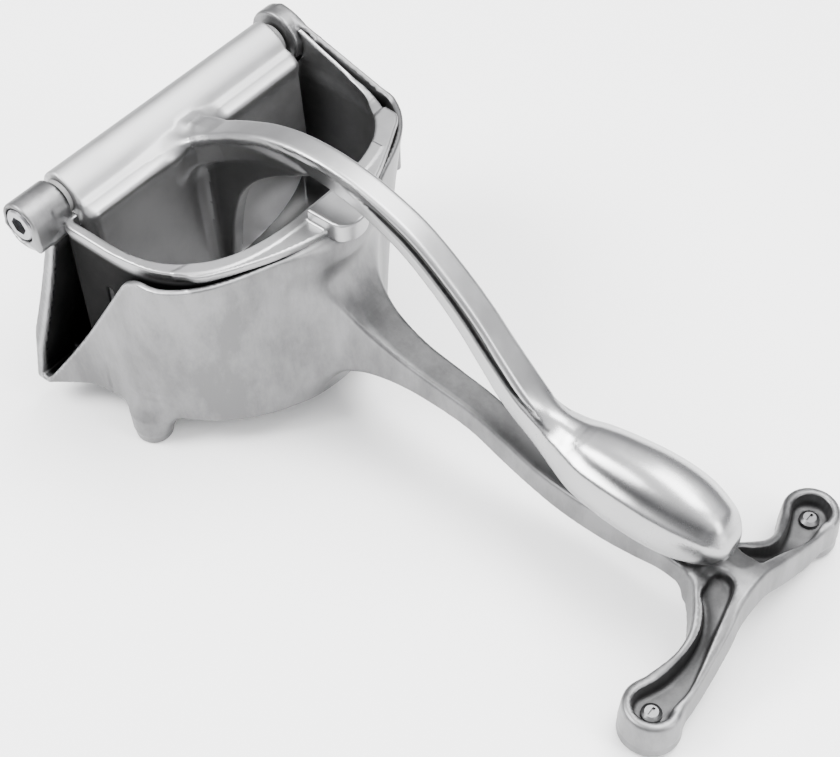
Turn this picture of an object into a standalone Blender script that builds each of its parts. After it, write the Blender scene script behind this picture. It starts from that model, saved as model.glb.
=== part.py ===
"""Hand citrus press: a cast pot with a strainer basket, a hinged press lever and a forked tail.

All lengths inside the functions are millimetres in the hinge frame.
X runs from the hinge to the tail, Y towards the plain side of the pot, Z up.
Zero height is the rim of the pot; build() moves everything to the part frame in metres.
"""
import math

import bmesh
import bpy

MM = 0.001
FRAME_X = -93.99
FRAME_Y = 3.0
FRAME_Z = 76.0
GAP = 0.3

# Pot
POT_CENTRE_X = 8.0
POT_RADIUS = 52.3
POT_BOTTOM_RADIUS = 51.2
POT_FLOOR_Z = -67.0
POT_WALL = 2.2
POT_FLOOR = 4.0
POT_RIM_Z = -2.2
FRONT_TOP_X = -3.5
FRONT_BOTTOM_X = -18.3
SPOUT_Y = -60.3
POT_BUMP = 7.0
SPOUT_INNER_Y = -45.5
SPOUT_TIP_X = -12.5
SPOUT_TIP_Z = -64.8
LOBE_X = 27.0

# Hinge
HINGE_X = -7.5
HINGE_Z = 2.8
BARREL_RADIUS = 7.3
BARREL_HALF = 43.5
EAR_INNER = 44.6
EAR_STEP = 0.9
EAR_LEFT_END = -59.6
EAR_RIGHT_END = 51.4
EAR_RADIUS = 7.8
SCREW_RADIUS = 3.0
SCREW_REACH = 11.0
SINK_DEPTH = 5.0
RUNNING = 0.08
SCREW_HEAD_RADIUS = 5.0
SCREW_HEAD_HEIGHT = 4.6
HEX_RADIUS = 2.9
WASHER_RADIUS = 5.4

# Press plate and arm
PLATE_HALF = 42.4
PLATE_FRONT_X = 0.2
PLATE_THICK = 5.0
PLATE_LEAN = 0.07
WEB_HALF = 2.2

# Basket
BASKET_HALF_Y = 49.7
BASKET_FRONT_X = -2.2
BASKET_START_X = 14.0
BASKET_REAR_X = 52.2
BASKET_WALL = 2.4
BASKET_FLOOR_Z = -57.0
BASKET_RIM_TOP = 0.6
FLANGE_THICK = 2.5
TAB_REACH = 67.0
TAB_TOP = 4.4
SLOT_WIDTH = 2.6
SLOT_PITCH = 8.0
SLOT_TOP = -16.0

# Feet and tail
GROUND_Z = -76.0
LEG_X = 20.0
LEG_Y = 48.0
LEG_FOOT_RADIUS = 5.8
FOOT_X = 196.7
FOOT_Y = 40.4
FOOT_RADIUS = 8.4
FOOT_TOP = -62.3
FOOT_BOTTOM = -75.2
POCKET_FLOOR = -68.0
HUB_TOP = -50.4
HUB_FLOOR = -58.5
HUB_BOTTOM = -62.0
ARM_BOTTOM = -71.5
POCKET_RIM = 2.7
PAD_RADIUS = 6.6
PAD_TOP = -72.0
PAD_SKIN = 1.2
FASTENER_HEAD = 3.0
FASTENER_SHANK = 1.6

ROUND = 48


def clear_scene():
    for obj in list(bpy.data.objects):
        bpy.data.objects.remove(obj, do_unlink=True)


def make_material(name, colour, metallic, roughness):
    mat = bpy.data.materials.new(name)
    mat.use_nodes = True
    shader = mat.node_tree.nodes["Principled BSDF"]
    shader.inputs["Base Color"].default_value = (colour[0], colour[1], colour[2], 1.0)
    shader.inputs["Metallic"].default_value = metallic
    shader.inputs["Roughness"].default_value = roughness
    return mat


def mesh_object(name, points, faces, mat=None):
    """A closed mesh from millimetre points, with its normals turned outward."""
    mesh = bpy.data.meshes.new(name)
    bm = bmesh.new()
    verts = []
    for x, y, z in points:
        verts.append(bm.verts.new(((x + FRAME_X) * MM, (y + FRAME_Y) * MM, (z + FRAME_Z) * MM)))
    for face in faces:
        bm.faces.new([verts[i] for i in face])
    bmesh.ops.recalc_face_normals(bm, faces=bm.faces)
    bm.to_mesh(mesh)
    bm.free()
    obj = bpy.data.objects.new(name, mesh)
    bpy.context.scene.collection.objects.link(obj)
    if mat is not None:
        mesh.materials.append(mat)
    return obj


def loft(name, rings, mat=None):
    """Skin a list of equal rings and cap both ends."""
    count = len(rings[0])
    points = []
    faces = []
    for ring in rings:
        points.extend(ring)
    for level in range(len(rings) - 1):
        base = level * count
        for i in range(count):
            j = (i + 1) % count
            faces.append((base + i, base + j, base + count + j, base + count + i))
    faces.append(tuple(range(count)))
    last = (len(rings) - 1) * count
    faces.append(tuple(range(last, last + count)))
    return mesh_object(name, points, faces, mat)


def prism_y(name, outline, y0, y1, mat=None):
    """Extrude an XZ outline along Y."""
    rings = []
    for y in (y0, y1):
        rings.append([(x, y, z) for x, z in outline])
    return loft(name, rings, mat)


def prism_z(name, outline, z0, z1, mat=None):
    """Extrude an XY outline along Z."""
    rings = []
    for z in (z0, z1):
        rings.append([(x, y, z) for x, y in outline])
    return loft(name, rings, mat)


def circle(cx, cy, radius, count=ROUND, phase=0.0):
    points = []
    for i in range(count):
        a = 2.0 * math.pi * i / count + phase
        points.append((cx + radius * math.cos(a), cy + radius * math.sin(a)))
    return points


def turned_y(name, profile, cx, cz, count=ROUND, mat=None):
    """A turned piece about a line along Y; the profile lists (y, radius)."""
    rings = []
    for y, radius in profile:
        rings.append([(x, y, z) for x, z in circle(cx, cz, radius, count)])
    return loft(name, rings, mat)


def turned_z(name, profile, cx, cy, count=ROUND, mat=None):
    """A turned piece about a vertical line; the profile lists (z, radius)."""
    rings = []
    for z, radius in profile:
        rings.append([(x, y, z) for x, y in circle(cx, cy, radius, count)])
    return loft(name, rings, mat)


def combine(target, tool, operation):
    """Boolean the tool into the target for good, then drop the tool."""
    mod = target.modifiers.new(operation.lower(), "BOOLEAN")
    mod.operation = operation
    mod.solver = "EXACT"
    mod.object = tool
    depsgraph = bpy.context.evaluated_depsgraph_get()
    depsgraph.update()
    result = bpy.data.meshes.new_from_object(target.evaluated_get(depsgraph))
    target.modifiers.clear()
    old = target.data
    target.data = result
    bpy.data.meshes.remove(old)
    bpy.data.objects.remove(tool, do_unlink=True)


def smooth_curve(keys, steps):
    """Catmull-Rom points through rows of numbers."""
    rows = []
    for i in range(len(keys) - 1):
        p0 = keys[max(i - 1, 0)]
        p1 = keys[i]
        p2 = keys[i + 1]
        p3 = keys[min(i + 2, len(keys) - 1)]
        for s in range(steps):
            t = s / steps
            row = []
            for a, b, c, d in zip(p0, p1, p2, p3):
                row.append(
                    0.5
                    * (
                        2 * b
                        + (c - a) * t
                        + (2 * a - 5 * b + 4 * c - d) * t * t
                        + (3 * b - a - 3 * c + d) * t ** 3
                    )
                )
            rows.append(tuple(row))
    rows.append(tuple(keys[-1]))
    return rows


# ---------------------------------------------------------------- pot body


def pot_outline(z, inset):
    """Plan outline of the pot at one height, moved inward by the inset."""
    depth = min(max(-z / -POT_FLOOR_Z, 0.0), 1.0)
    radius = POT_RADIUS + (POT_BOTTOM_RADIUS - POT_RADIUS) * depth - inset
    bump = POT_BUMP * (1.0 - depth) ** 1.5
    centre = POT_CENTRE_X - depth
    front = FRONT_TOP_X + (FRONT_BOTTOM_X - FRONT_TOP_X) * depth + inset
    points = []
    arc = 48
    for i in range(arc + 1):
        a = -math.pi / 2 + math.pi * i / arc
        ramp = min(max((abs(a) - math.radians(24.0)) / math.radians(36.0), 0.0), 1.0)
        reach = radius + bump * ramp * ramp * (3.0 - 2.0 * ramp)
        reach = min(reach, radius / max(abs(math.sin(a)), 0.01))
        points.append((centre + reach * math.cos(a), reach * math.sin(a)))
    corner = 7.0 - inset
    straight = (centre - front - corner) / 3.0
    for i in range(1, 3):
        points.append((centre - straight * i, radius))
    for i in range(7):
        a = math.pi / 2 + math.pi / 2 * i / 6
        points.append((front + corner + corner * math.cos(a), radius - corner + corner * math.sin(a)))
    tip_y = SPOUT_Y + inset * 1.9
    tip_x = max(SPOUT_TIP_X - inset * 0.25, front + 0.8)
    for i in range(1, 6):
        t = i / 6.0
        points.append((front, radius - corner + (tip_y - radius + corner) * t))
    points.append((front, tip_y))
    points.append((tip_x, tip_y))
    flare = 7
    for i in range(1, flare):
        t = i / flare
        x = tip_x + (centre - tip_x) * t
        lift = (1.0 - t) ** 2.2
        points.append((x, -radius + (tip_y + radius) * lift))
    return points


def pot_outer():
    levels = [
        (POT_RIM_Z, 0.0),
        (-12.0, 0.0),
        (-24.0, 0.0),
        (-36.0, 0.0),
        (-48.0, 0.0),
        (-58.0, 0.1),
        (-63.5, 0.3),
        (-66.0, 1.0),
        (POT_FLOOR_Z, 2.4),
    ]
    rings = []
    for z, inset in levels:
        rings.append([(x, y, z) for x, y in pot_outline(z, inset)])
    return loft("pot_body", rings)


def pot_cavity():
    floor = POT_FLOOR_Z + POT_FLOOR
    levels = [
        (8.0, POT_WALL),
        (-20.0, POT_WALL),
        (-40.0, POT_WALL + 0.1),
        (-56.0, POT_WALL + 0.3),
        (floor + 2.0, POT_WALL + 1.2),
        (floor, POT_WALL + 3.4),
    ]
    rings = []
    for z, inset in levels:
        rings.append([(x, y, z) for x, y in pot_outline(z, inset)])
    return loft("pot_cavity", rings)


def spout_cut():
    """The wedge that opens the pot into a V-shaped pouring mouth on its left."""
    top_front = FRONT_TOP_X + POT_WALL + 0.2
    low_front = FRONT_BOTTOM_X + POT_WALL + 1.0
    outline = [
        (low_front + 0.4, SPOUT_TIP_Z + 1.0),
        (low_front + 1.8, SPOUT_TIP_Z),
        (SPOUT_TIP_X + 1.2, SPOUT_TIP_Z + 1.2),
        (LOBE_X - 7.0, -12.6),
        (LOBE_X - 3.6, -7.2),
        (LOBE_X - 1.0, -4.2),
        (LOBE_X + 2.4, POT_RIM_Z + 0.2),
        (LOBE_X + 4.0, 20.0),
        (top_front + 4.0, 20.0),
        (top_front, POT_RIM_Z + 2.0),
    ]
    return prism_y("spout_cut", outline, SPOUT_Y - 12.0, SPOUT_INNER_Y)


def ear_outline(radius, foot_front, foot_rear, foot_z):
    """Side view of a hinge ear: a round head standing on the pot wall."""
    points = []
    for i in range(25):
        a = math.radians(-25 + 250 * i / 24)
        points.append((HINGE_X + radius * math.cos(a), HINGE_Z + radius * math.sin(a)))
    points.append((foot_front, foot_z))
    points.append((foot_front + 4.0, foot_z - 9.0))
    points.append((foot_rear, foot_z - 9.0))
    return points


def handle_rings():
    """Lower handle: a wide root on the pot that thins and then drops to the tail."""
    keys = [
        (52.0, -13.0, -58.0, 17.0),
        (58.5, -16.5, -56.0, 13.0),
        (64.0, -24.0, -53.0, 9.2),
        (72.0, -32.0, -50.4, 6.8),
        (84.0, -37.4, -48.8, 5.6),
        (97.0, -40.0, -49.0, 5.2),
        (109.0, -42.4, -51.2, 5.0),
        (120.0, -46.2, -55.8, 5.0),
        (131.0, -50.3, -59.8, 5.1),
        (142.0, -52.2, -62.4, 5.2),
        (155.0, -52.5, -63.0, 5.3),
        (166.0, -52.4, -61.9, 5.5),
        (175.0, -52.0, -60.2, 6.0),
        (189.0, -51.4, -60.8, 7.2),
    ]
    rings = []
    for x, top, bottom, half in smooth_curve(keys, 2):
        middle = (top + bottom) / 2.0
        tall = (top - bottom) / 2.0
        ring = []
        for i in range(24):
            a = 2.0 * math.pi * i / 24
            c = math.cos(a)
            s = math.sin(a)
            y = half * math.copysign(abs(c) ** 0.45, c)
            z = middle + tall * math.copysign(abs(s) ** 0.45, s)
            ring.append((x, y, z))
        rings.append(ring)
    return rings


def foot_arc(radius, first, last, steps):
    """Points round the left foot, running the long way from one angle to the other."""
    points = []
    for i in range(steps + 1):
        a = math.radians(first + (last - first) * i / steps)
        points.append((FOOT_X + radius * math.cos(a), -FOOT_Y + radius * math.sin(a)))
    return points


def tail_outline():
    """Plan view of the forked tail with a round foot at each end."""
    half = [
        (183.6, -7.4),
        (185.6, -8.6),
        (190.0, -12.7),
        (193.2, -18.8),
        (193.4, -25.0),
        (191.4, -31.5),
    ]
    half += foot_arc(FOOT_RADIUS, 154.0, 384.0, 16)
    half += [
        (203.2, -24.0),
        (202.5, -13.0),
        (201.4, -6.0),
    ]
    mirrored = [(x, -y) for x, y in reversed(half)]
    return half + mirrored


def arch(name, top, bottom):
    """Slab that slopes down from the hub to both feet, given as heights over half widths."""
    upper = [(-y, z) for y, z in reversed(top)] + list(top)
    lower = [(y, z) for y, z in reversed(bottom)] + [(-y, z) for y, z in bottom]
    points = upper + lower
    count = len(points)
    near = [(170.0, y, z) for y, z in points]
    far = [(215.0, y, z) for y, z in points]
    faces = [tuple(reversed(range(count))), tuple(range(count, 2 * count))]
    for i in range(count):
        k = (i + 1) % count
        faces.append((i, k, count + k, count + i))
    return mesh_object(name, near + far, faces)


def build_tail():
    """Fork whose arms slope down from the hub to the feet."""
    tail = prism_z("tail", tail_outline(), FOOT_BOTTOM - 2.0, HUB_TOP + 2.0)
    top = [(4.0, HUB_TOP), (34.0, FOOT_TOP), (60.0, FOOT_TOP)]
    bottom = [(5.0, HUB_BOTTOM), (31.0, ARM_BOTTOM), (60.0, ARM_BOTTOM)]
    combine(tail, arch("arch", top, bottom), "INTERSECT")
    return tail


def pocket_outline(side):
    """The long pocket sunk in the top of one tail arm; the right one starts further out."""
    outer = [
        (202.0, -31.4),
        (201.0, -23.8),
        (199.6, -16.6),
        (198.4, -9.9),
    ]
    inner = [
        (192.4, -12.6),
        (195.1, -17.6),
        (195.8, -22.5),
        (195.2, -26.6),
        (193.9, -32.7),
    ]
    if side < 0.0:
        start = [(197.3, -5.2), (195.6, -2.4), (192.0, -1.6), (187.6, -3.0), (186.2, -5.4), (188.4, -8.6)]
    else:
        start = [(197.8, -8.6), (189.6, -8.6), (189.4, -9.6)]
    points = outer + start + inner + foot_arc(FOOT_RADIUS - POCKET_RIM, 150.0, 390.0, 14)
    return [(x, -y * side) for x, y in points]


def build_pocket(side):
    pocket = prism_z("pocket", pocket_outline(side), POCKET_FLOOR - 4.0, HUB_TOP + 5.0)
    floor = [(4.0, HUB_FLOOR), (33.0, POCKET_FLOOR), (60.0, POCKET_FLOOR)]
    above = [(60.0, HUB_TOP + 10.0)]
    combine(pocket, arch("pocket_floor", above, floor), "INTERSECT")
    return pocket


def build_pot_body(mat):
    body = pot_outer()
    combine(body, loft("handle", handle_rings()), "UNION")
    combine(body, build_tail(), "UNION")
    for side in (-1.0, 1.0):
        profile = [(FOOT_TOP - 1.5, FOOT_RADIUS - 0.1), (FOOT_BOTTOM, FOOT_RADIUS + 0.1)]
        foot = turned_z("foot", profile, FOOT_X, FOOT_Y * side)
        combine(body, foot, "UNION")
        leg_rings = []
        for z, radius, out in (
            (-58.0, 9.0, -7.5),
            (-64.0, 9.2, -5.0),
            (-69.0, 7.4, -1.6),
            (-73.5, 6.3, -0.3),
            (GROUND_Z, LEG_FOOT_RADIUS, 0.0),
        ):
            centre = circle(LEG_X + out * 0.4, (LEG_Y + out) * side, radius)
            leg_rings.append([(x, y, z) for x, y in centre])
        combine(body, loft("leg", leg_rings), "UNION")
    left_ear = ear_outline(EAR_RADIUS, FRONT_TOP_X - 2.2, FRONT_TOP_X + 2.6, 2.0)
    combine(body, prism_y("ear_left", left_ear, EAR_LEFT_END, -EAR_INNER - EAR_STEP), "UNION")
    right_ear = ear_outline(EAR_RADIUS + 1.6, FRONT_TOP_X - 2.0, FRONT_TOP_X + 9.0, -8.0)
    combine(body, prism_y("ear_right", right_ear, EAR_INNER + EAR_STEP, EAR_RIGHT_END), "UNION")
    ramp = [
        (HINGE_X + 3.0, HINGE_Z + 9.0),
        (HINGE_X + 6.5, HINGE_Z + 8.2),
        (33.0, 0.6),
        (37.0, -2.6),
        (37.0, -14.0),
        (HINGE_X + 3.0, -14.0),
    ]
    combine(body, prism_y("wall_ramp", ramp, POT_RADIUS - POT_WALL, EAR_RIGHT_END), "UNION")
    combine(body, pot_cavity(), "DIFFERENCE")
    combine(body, spout_cut(), "DIFFERENCE")
    swing = turned_y(
        "barrel_room",
        [(-EAR_INNER - EAR_STEP, BARREL_RADIUS + 1.3), (EAR_INNER + EAR_STEP, BARREL_RADIUS + 1.3)],
        HINGE_X,
        HINGE_Z,
    )
    combine(body, swing, "DIFFERENCE")
    bore = [(EAR_LEFT_END - 5.0, SCREW_RADIUS), (EAR_RIGHT_END + 5.0, SCREW_RADIUS)]
    combine(body, turned_y("hinge_bore", bore, HINGE_X, HINGE_Z), "DIFFERENCE")
    sink_radius = SCREW_HEAD_RADIUS + GAP
    sink = [(EAR_LEFT_END - 5.0, sink_radius), (EAR_LEFT_END + SINK_DEPTH, sink_radius)]
    combine(body, turned_y("head_sink", sink, HINGE_X, HINGE_Z), "DIFFERENCE")
    for side in (-1.0, 1.0):
        combine(body, build_pocket(side), "DIFFERENCE")
        recess = [(FOOT_BOTTOM - 3.0, PAD_RADIUS + GAP), (PAD_TOP + GAP, PAD_RADIUS + GAP)]
        combine(body, turned_z("pad_recess", recess, FOOT_X, FOOT_Y * side), "DIFFERENCE")
        hole = [(PAD_TOP - 2.0, FASTENER_SHANK + GAP), (POCKET_FLOOR + 2.0, FASTENER_SHANK + GAP)]
        combine(body, turned_z("foot_hole", hole, FOOT_X, FOOT_Y * side, 24), "DIFFERENCE")
    body.data.materials.clear()
    body.data.materials.append(mat)
    return body


# ---------------------------------------------------------------- basket


def basket_outline(z, inset):
    """Plan outline of the basket: straight front, straight sides, soft rear."""
    points = []
    depth = min(max(z / BASKET_FLOOR_Z, 0.0), 1.0)
    half = BASKET_HALF_Y - inset
    reach = BASKET_REAR_X - BASKET_START_X - 2.4 * depth - inset
    power = 2.85 - 0.75 * depth
    steps = 40
    for i in range(steps + 1):
        a = -math.pi / 2 + math.pi * i / steps
        c = max(math.cos(a), 0.0)
        s = math.sin(a)
        x = BASKET_START_X + reach * c ** (2.0 / power)
        y = half * math.copysign(abs(s) ** (2.0 / power), s)
        points.append((x, y))
    front = BASKET_FRONT_X + inset
    corner = 5.0 - min(inset, 3.0)
    for i in range(7):
        a = math.pi / 2 + math.pi / 2 * i / 6
        points.append((front + corner + corner * math.cos(a), half - corner + corner * math.sin(a)))
    for i in range(7):
        a = math.pi + math.pi / 2 * i / 6
        points.append((front + corner + corner * math.cos(a), -half + corner + corner * math.sin(a)))
    return points


def flange_outline():
    """Flange that carries the basket on the rear half of the pot rim."""
    points = []
    half = 44.6
    steps = 30
    for i in range(steps + 1):
        y = -half + 2.0 * half * i / steps
        x = 59.3 - 14.6 * (abs(y) / half) ** 2.2
        points.append((x, y))
    points.append((37.0, half - 3.0))
    points.append((37.0, -half + 3.0))
    return points


def tab_outline():
    """Thumb tab that stands on the rear of the flange."""
    return [
        (50.6, -6.2),
        (57.0, -8.6),
        (62.0, -7.6),
        (65.6, -4.4),
        (TAB_REACH, 0.0),
        (65.6, 4.4),
        (62.0, 7.6),
        (57.0, 8.6),
        (50.6, 6.2),
    ]


def build_basket(mat):
    under = BASKET_RIM_TOP - FLANGE_THICK
    body_rings = []
    for z, inset in (
        (BASKET_RIM_TOP, 0.0),
        (-15.0, 0.3),
        (-30.0, 0.7),
        (-44.0, 1.1),
        (-53.0, 2.0),
        (-56.0, 4.2),
        (BASKET_FLOOR_Z, 7.4),
    ):
        body_rings.append([(x, y, z) for x, y in basket_outline(z, inset)])
    basket = loft("strainer_basket", body_rings)
    raised = [(BASKET_FRONT_X + 4.0, -6.0), (BASKET_FRONT_X + 4.0, 6.4), (31.0, -0.2), (31.0, -6.0)]
    wall = prism_y("raised_wall", raised, BASKET_HALF_Y - BASKET_WALL, BASKET_HALF_Y - 0.2)
    combine(basket, wall, "UNION")
    combine(basket, prism_z("flange", flange_outline(), under, BASKET_RIM_TOP), "UNION")
    combine(basket, prism_z("thumb_tab", tab_outline(), under, TAB_TOP), "UNION")
    hollow = []
    for z, inset in (
        (12.0, BASKET_WALL),
        (-15.0, BASKET_WALL + 0.3),
        (-30.0, BASKET_WALL + 0.7),
        (-44.0, BASKET_WALL + 1.1),
        (-51.0, BASKET_WALL + 2.0),
        (-53.6, BASKET_WALL + 4.4),
        (BASKET_FLOOR_Z + 2.4, BASKET_WALL + 7.4),
    ):
        hollow.append([(x, y, z) for x, y in basket_outline(z, inset)])
    combine(basket, loft("basket_hollow", hollow), "DIFFERENCE")
    room = [(-20.0, -11.0), (1.2, -11.0), (1.2, 20.0), (-20.0, 20.0)]
    combine(basket, prism_y("barrel_room", room, -EAR_INNER, EAR_INNER), "DIFFERENCE")
    for i in range(9):
        y = -4.0 * SLOT_PITCH + SLOT_PITCH * i
        low = -49.0
        if abs(y) > 26.0:
            low = -44.0
        slot = [
            (BASKET_FRONT_X - 4.0, low),
            (BASKET_FRONT_X + 3.6, low),
            (BASKET_FRONT_X + 3.6, SLOT_TOP),
            (BASKET_FRONT_X - 4.0, SLOT_TOP),
        ]
        cut = prism_y("front_slot", slot, y - SLOT_WIDTH / 2, y + SLOT_WIDTH / 2)
        combine(basket, cut, "DIFFERENCE")
    for i in range(7):
        y = -3.0 * SLOT_PITCH + SLOT_PITCH * i
        reach = 36.0 - 6.0 * abs(i - 3) / 3.0
        slot = [
            (8.0, BASKET_FLOOR_Z - 3.0),
            (reach, BASKET_FLOOR_Z - 3.0),
            (reach, BASKET_FLOOR_Z + 4.0),
            (8.0, BASKET_FLOOR_Z + 4.0),
        ]
        cut = prism_y("floor_slot", slot, y - SLOT_WIDTH / 2, y + SLOT_WIDTH / 2)
        combine(basket, cut, "DIFFERENCE")
    for x in (14.0, 24.0):
        slot = [(x - 1.2, -46.0), (x + 1.2, -46.0), (x + 1.2, SLOT_TOP), (x - 1.2, SLOT_TOP)]
        cut = prism_y("side_slot", slot, -BASKET_HALF_Y - 5.0, -BASKET_HALF_Y + 7.0)
        combine(basket, cut, "DIFFERENCE")
    basket.data.materials.clear()
    basket.data.materials.append(mat)
    return basket


# ---------------------------------------------------------------- lever


def arm_profile(half, tall, groove):
    """Right half of the I-shaped arm section as (side, up) pairs."""
    return [
        (0.0, tall),
        (half * 0.55, tall * 0.95),
        (half * 0.9, tall * 0.74),
        (half, tall * 0.48),
        (half * 0.96, tall * 0.26),
        (half - groove, tall * 0.1),
        (half - groove, -tall * 0.3),
        (half * 0.94, -tall * 0.46),
        (half * 0.9, -tall * 0.74),
        (half * 0.5, -tall * 0.95),
        (0.0, -tall),
    ]


def arm_rings():
    """Arm and grip in one sweep: rows are x, z, half width, half height, groove depth."""
    keys = [
        (1.0, -1.6, 4.7, 4.8, 0.2),
        (5.6, 0.7, 4.6, 4.8, 0.3),
        (11.2, 3.5, 4.5, 4.8, 0.5),
        (18.8, 7.6, 4.4, 4.6, 0.9),
        (26.4, 11.3, 4.35, 4.5, 1.1),
        (35.0, 14.7, 4.3, 4.5, 1.3),
        (45.0, 16.8, 4.25, 4.5, 1.3),
        (56.0, 17.1, 4.2, 4.5, 1.3),
        (67.0, 15.5, 4.2, 4.5, 1.3),
        (77.4, 12.2, 4.2, 4.6, 1.3),
        (86.4, 7.8, 4.3, 4.7, 1.3),
        (96.4, 0.3, 4.4, 4.8, 1.3),
        (105.8, -8.4, 4.5, 5.0, 1.3),
        (114.8, -18.6, 4.7, 5.2, 1.2),
        (123.0, -27.4, 5.1, 5.6, 1.1),
        (131.0, -33.6, 6.0, 6.4, 0.9),
        (139.0, -36.8, 8.4, 8.2, 0.6),
        (147.0, -38.2, 10.8, 10.6, 0.3),
        (157.0, -38.2, 12.0, 12.0, 0.0),
        (168.0, -38.0, 12.5, 12.6, 0.0),
        (178.0, -38.0, 11.8, 12.0, 0.0),
        (186.0, -38.4, 9.4, 9.8, 0.0),
        (191.0, -38.8, 6.4, 6.8, 0.0),
        (194.0, -39.0, 2.6, 2.8, 0.0),
    ]
    rows = smooth_curve(keys, 2)
    rings = []
    for i, row in enumerate(rows):
        x, z, half, tall, groove = row
        before = rows[max(i - 1, 0)]
        after = rows[min(i + 1, len(rows) - 1)]
        dx = after[0] - before[0]
        dz = after[1] - before[1]
        size = math.hypot(dx, dz)
        nx = -dz / size
        nz = dx / size
        right = arm_profile(half, tall, max(groove, 0.0))
        section = right + [(-a, b) for a, b in reversed(right[1:-1])]
        rings.append([(x + nx * b, a, z + nz * b) for a, b in section])
    return rings


def plate_outline():
    """Face of the press plate: straight top under the barrel, rounded below."""
    points = [(PLATE_HALF, HINGE_Z), (-PLATE_HALF, HINGE_Z)]
    for i in range(29):
        a = math.pi + math.pi * i / 28
        y = PLATE_HALF * math.copysign(abs(math.cos(a)) ** 0.72, math.cos(a))
        z = -20.0 - 29.6 * abs(math.sin(a)) ** 0.68
        points.append((y, z))
    return points


def build_lever(mat):
    lever = turned_y(
        "press_lever",
        [
            (-BARREL_HALF, BARREL_RADIUS - 0.8),
            (-BARREL_HALF + 0.8, BARREL_RADIUS),
            (BARREL_HALF - 0.8, BARREL_RADIUS),
            (BARREL_HALF, BARREL_RADIUS - 0.8),
        ],
        HINGE_X,
        HINGE_Z,
    )
    rings = []
    for top_x in (PLATE_FRONT_X, PLATE_FRONT_X + PLATE_THICK):
        ring = []
        for y, z in plate_outline():
            ring.append((top_x + PLATE_LEAN * (HINGE_Z - z), y, z))
        rings.append(ring)
    plate = loft("press_plate", rings)
    combine(lever, plate, "UNION")
    neck = prism_y(
        "plate_neck",
        [
            (HINGE_X + 1.0, HINGE_Z - 3.0),
            (HINGE_X + 3.0, HINGE_Z + 5.0),
            (2.0, HINGE_Z + 1.0),
            (3.6, -1.0),
            (1.4, -9.0),
        ],
        -PLATE_HALF,
        PLATE_HALF,
    )
    combine(lever, neck, "UNION")
    combine(lever, loft("arm", arm_rings()), "UNION")
    web = [
        (2.0, 4.0),
        (3.0, -43.0),
        (13.0, -43.0),
        (16.5, -36.0),
        (18.0, -24.0),
        (21.0, -12.0),
        (27.0, -3.0),
        (36.0, 4.5),
        (48.0, 12.5),
        (30.0, 12.0),
        (14.0, 6.0),
    ]
    combine(lever, prism_y("web", web, -WEB_HALF, WEB_HALF), "UNION")
    blind_end = BARREL_HALF - SCREW_REACH - 1.0
    for side in (-1.0, 1.0):
        drill = [(blind_end * side, SCREW_RADIUS), ((BARREL_HALF + 2.0) * side, SCREW_RADIUS)]
        combine(lever, turned_y("thread_hole", drill, HINGE_X, HINGE_Z), "DIFFERENCE")
    lever.data.materials.clear()
    lever.data.materials.append(mat)
    return lever


# ---------------------------------------------------------------- small pieces


def build_screw(name, side, seat, head_height, head_radius, mat):
    """Socket screw whose shank reaches from its head into the barrel."""
    shank_end = (BARREL_HALF - SCREW_REACH) * side
    profile = [
        (seat + head_height * side, head_radius - 0.5),
        (seat + (head_height - 0.5) * side, head_radius),
        (seat, head_radius),
        (seat - 0.01 * side, SCREW_RADIUS - RUNNING),
        (shank_end + 0.8 * side, SCREW_RADIUS - RUNNING),
        (shank_end, SCREW_RADIUS - 1.0),
    ]
    screw = turned_y(name, profile, HINGE_X, HINGE_Z, 36)
    hexagon = []
    for i in range(6):
        a = math.pi / 3 * i
        hexagon.append((HINGE_X + HEX_RADIUS * math.cos(a), HINGE_Z + HEX_RADIUS * math.sin(a)))
    top = seat + head_height * side
    socket = prism_y("socket", hexagon, top + 2.0 * side, top - (head_height - 1.4) * side)
    combine(screw, socket, "DIFFERENCE")
    screw.data.materials.clear()
    screw.data.materials.append(mat)
    return screw


def build_washer(name, side, mat):
    inner = SCREW_RADIUS + 0.2
    y0 = (BARREL_HALF + GAP) * side
    y1 = (EAR_INNER + EAR_STEP - GAP) * side
    washer = turned_y(name, [(y0, WASHER_RADIUS), (y1, WASHER_RADIUS)], HINGE_X, HINGE_Z, 36)
    hole = turned_y("washer_hole", [(y0 - 2.0 * side, inner), (y1 + 2.0 * side, inner)], HINGE_X, HINGE_Z, 36)
    combine(washer, hole, "DIFFERENCE")
    washer.data.materials.clear()
    washer.data.materials.append(mat)
    return washer


def build_pad(name, side, mat):
    profile = [(GROUND_Z, PAD_RADIUS - 0.4), (GROUND_Z + 0.4, PAD_RADIUS), (PAD_TOP, PAD_RADIUS)]
    pad = turned_z(name, profile, FOOT_X, FOOT_Y * side, 36)
    hole = [(GROUND_Z + PAD_SKIN, FASTENER_SHANK + GAP), (PAD_TOP + 2.0, FASTENER_SHANK + GAP)]
    combine(pad, turned_z("pad_hole", hole, FOOT_X, FOOT_Y * side, 24), "DIFFERENCE")
    pad.data.materials.clear()
    pad.data.materials.append(mat)
    return pad


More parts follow.
